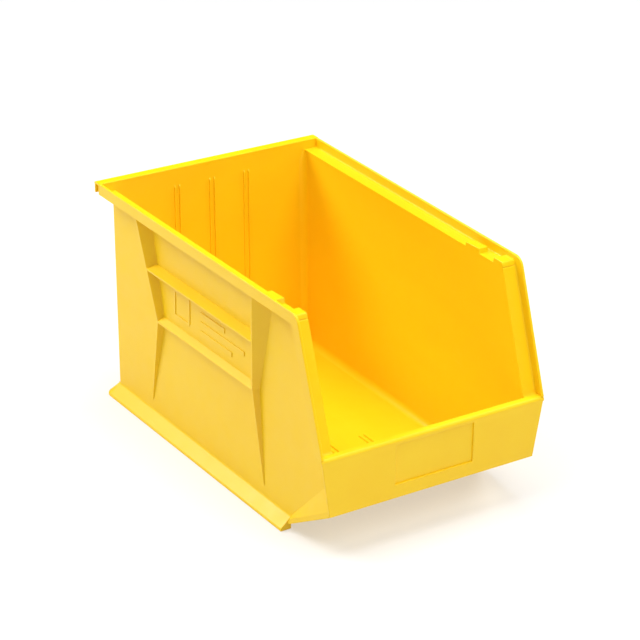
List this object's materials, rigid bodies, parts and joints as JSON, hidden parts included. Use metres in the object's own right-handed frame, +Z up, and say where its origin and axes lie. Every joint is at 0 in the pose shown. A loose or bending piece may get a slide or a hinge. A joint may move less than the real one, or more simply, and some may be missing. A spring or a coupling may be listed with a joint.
{
  "type": "stackable storage bin",
  "caption": "Stack-and-hang storage bin with an open hopper front, stacking ledges, a rear hanging rim, ribbed sides and sloping base skirts.",
  "frame": {"origin": "on the floor, under the middle of the bin's bounding box", "axes": "+Z up, +Y towards the rear hanging rim, front opening faces -Y, +X to the bin's right seen from the front"},
  "size_m": [0.2794, 0.45, 0.254],
  "materials": {
    "moulded_shell": "semi-gloss moulded yellow polypropylene"
  },
  "bodies": {
    "root": {"back_wall": "moulded_shell", "floor_panel": "moulded_shell", "floor_ramp": "moulded_shell", "front_flange": "moulded_shell", "front_panel": "moulded_shell", "hanger_flange": "moulded_shell", "hanger_lip": "moulded_shell", "left_back_rib_pair": "moulded_shell", "left_badge_frame": "moulded_shell", "left_base_corner": "moulded_shell", "left_base_rail": "moulded_shell", "left_corner_flare": "moulded_shell", "left_floor_cove": "moulded_shell", "left_floor_rib_pair": "moulded_shell", "left_front_gusset": "moulded_shell", "left_lower_side_rib": "moulded_shell", "left_mark_bars": "moulded_shell", "left_outer_lip": "moulded_shell", "left_rail_end": "moulded_shell", "left_rear_gusset": "moulded_shell", "left_side_wall": "moulded_shell", "left_stacking_ledge": "moulded_shell", "left_stacking_nose": "moulded_shell", "left_stacking_wedge": "moulded_shell", "left_upper_side_rib": "moulded_shell", "middle_back_rib_pair": "moulded_shell", "middle_floor_rib_pair": "moulded_shell", "rear_base_rail": "moulded_shell", "rear_floor_cove": "moulded_shell", "right_back_rib_pair": "moulded_shell", "right_base_corner": "moulded_shell", "right_base_rail": "moulded_shell", "right_corner_flare": "moulded_shell", "right_floor_cove": "moulded_shell", "right_floor_rib_pair": "moulded_shell", "right_front_gusset": "moulded_shell", "right_lower_side_rib": "moulded_shell", "right_outer_lip": "moulded_shell", "right_rail_end": "moulded_shell", "right_rear_gusset": "moulded_shell", "right_side_wall": "moulded_shell", "right_stacking_ledge": "moulded_shell", "right_stacking_nose": "moulded_shell", "right_stacking_wedge": "moulded_shell", "right_upper_side_rib": "moulded_shell"}
  },
  "joints": []
}
